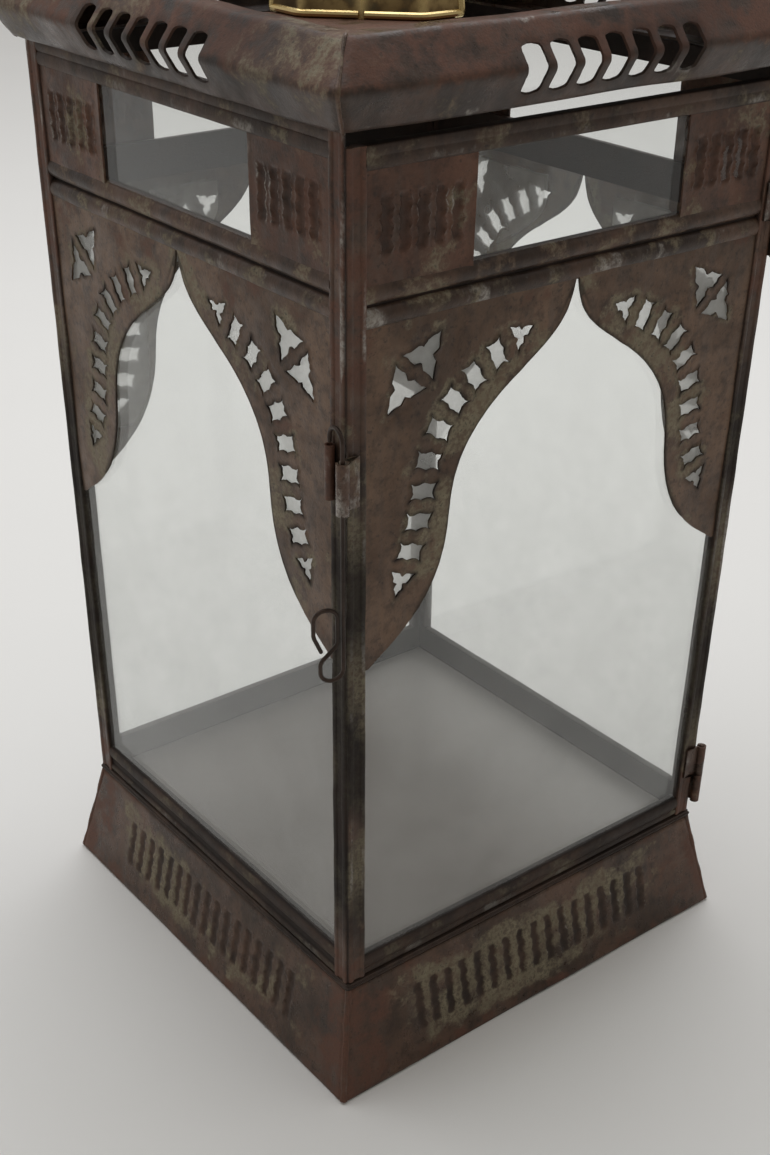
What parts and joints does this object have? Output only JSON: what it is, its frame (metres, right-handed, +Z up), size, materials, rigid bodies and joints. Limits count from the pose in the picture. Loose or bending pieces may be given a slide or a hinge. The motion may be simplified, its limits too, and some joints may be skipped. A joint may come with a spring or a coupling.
{
  "type": "lantern",
  "caption": "Square glazed candle lantern of rusted sheet iron with pierced arch plates, hinged glass door, wire latch, slotted eave and brass roof.",
  "frame": {"origin": "middle of the footprint, on the surface it stands on", "axes": "+Z up, -Y out of the door, +X to the right of someone facing the door"},
  "size_m": [0.2337, 0.2336, 0.5952],
  "materials": {
    "rusted_iron": "brown patina with red rust and worn grey edges",
    "pierced_sheet": "brown patina, olive tarnish along the cut edges",
    "embossed_sheet": "brown patina, strokes worn red",
    "floor_sheet": "smooth grey brown",
    "hardware_steel": "dark oiled steel with rust",
    "clear_glass": "clear, slightly grey, dusty",
    "aged_brass": "aged, darkened in the hollows"
  },
  "bodies": {
    "frame": {"back_pane_lower": "clear_glass", "back_pane_upper": "clear_glass", "back_plates": "embossed_sheet", "back_rails": "rusted_iron", "back_spandrel_left": "pierced_sheet", "back_spandrel_right": "pierced_sheet", "back_stiles": "rusted_iron", "base_bead": "rusted_iron", "base_panel_back": "clear_glass", "base_panel_front": "clear_glass", "base_panel_left": "clear_glass", "base_panel_right": "clear_glass", "eave_back": "rusted_iron", "eave_front": "rusted_iron", "eave_gussets": "rusted_iron", "eave_left": "rusted_iron", "eave_right": "rusted_iron", "finial": "aged_brass", "floor_plate": "floor_sheet", "hanging_ring": "aged_brass", "hinge_knuckles_frame": "hardware_steel", "hinge_pins": "hardware_steel", "latch_barrel_frame": "hardware_steel", "left_pane_lower": "clear_glass", "left_pane_upper": "clear_glass", "left_plates": "embossed_sheet", "left_rails": "rusted_iron", "left_spandrel_left": "pierced_sheet", "left_spandrel_right": "pierced_sheet", "left_stiles": "rusted_iron", "neck_collar": "aged_brass", "right_pane_lower": "clear_glass", "right_pane_upper": "clear_glass", "right_plates": "embossed_sheet", "right_rails": "rusted_iron", "right_spandrel_left": "pierced_sheet", "right_spandrel_right": "pierced_sheet", "right_stiles": "rusted_iron", "roof_back": "aged_brass", "roof_front": "aged_brass", "roof_left": "aged_brass", "roof_right": "aged_brass"},
    "door": {"door_pane_lower": "clear_glass", "door_pane_upper": "clear_glass", "door_plates": "embossed_sheet", "door_rails": "rusted_iron", "door_spandrel_left": "pierced_sheet", "door_spandrel_right": "pierced_sheet", "door_stiles": "rusted_iron", "hinge_knuckles_door": "hardware_steel", "latch_barrel_door": "hardware_steel"},
    "latch": {"latch_wire": "hardware_steel"}
  },
  "joints": [
    {"name": "door_hinge", "type": "hinge", "parent": "frame", "child": "door", "pos_m": [0.1012, -0.1012, 0.0513], "axis": [0.0152, -0.0152, 0.9998], "range_deg": [0, 160]},
    {"name": "latch_lift", "type": "slide", "parent": "door", "child": "latch", "axis": [-0.0152, -0.0152, 0.9998], "range_m": [-0.0025, 0.028]}
  ]
}
